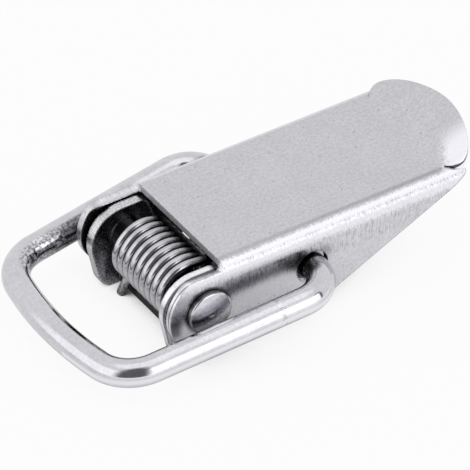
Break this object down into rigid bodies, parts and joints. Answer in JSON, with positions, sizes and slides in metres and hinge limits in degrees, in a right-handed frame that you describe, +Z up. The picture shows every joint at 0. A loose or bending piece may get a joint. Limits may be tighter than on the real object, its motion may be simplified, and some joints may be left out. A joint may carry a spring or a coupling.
{
  "type": "over centre toggle latch",
  "caption": "Over centre toggle latch: a folded base with two ears, a folded lever on a rivet, a bent wire bail and a coil spring round the rivet. Shown closed.",
  "frame": {"origin": "middle of the two screw holes, on the base's mounting face", "axes": "+X from the bail's loop to the lever's lifted tip, +Z up from the mounting face, Y along the rivet"},
  "size_m": [0.0656, 0.0378, 0.0168],
  "materials": {
    "base_steel": "satin stainless sheet",
    "rivet_steel": "smooth stainless, slightly domed heads",
    "lever_steel": "satin tumbled stainless sheet",
    "bail_steel": "smooth polished stainless wire",
    "spring_steel": "bright drawn spring wire"
  },
  "bodies": {
    "base_body": {"base": "base_steel", "pivot_rivet": "rivet_steel", "torsion_spring": "spring_steel"},
    "lever_body": {"lever": "lever_steel"},
    "bail_body": {"bail": "bail_steel"}
  },
  "joints": [
    {"name": "lever_hinge", "type": "hinge", "parent": "base_body", "child": "lever_body", "pos_m": [-0.0125, 0, 0.008], "axis": [0, -1, 0], "range_deg": [0, 120], "stiffness_Nm_per_rad": 0.11, "springref_deg": -28.65, "deforming": ["torsion_spring"]},
    {"name": "bail_hinge", "type": "hinge", "parent": "lever_body", "child": "bail_body", "pos_m": [0.0042, 0, 0.00825], "axis": [0, 1, 0], "range_deg": [-160, 160]}
  ]
}
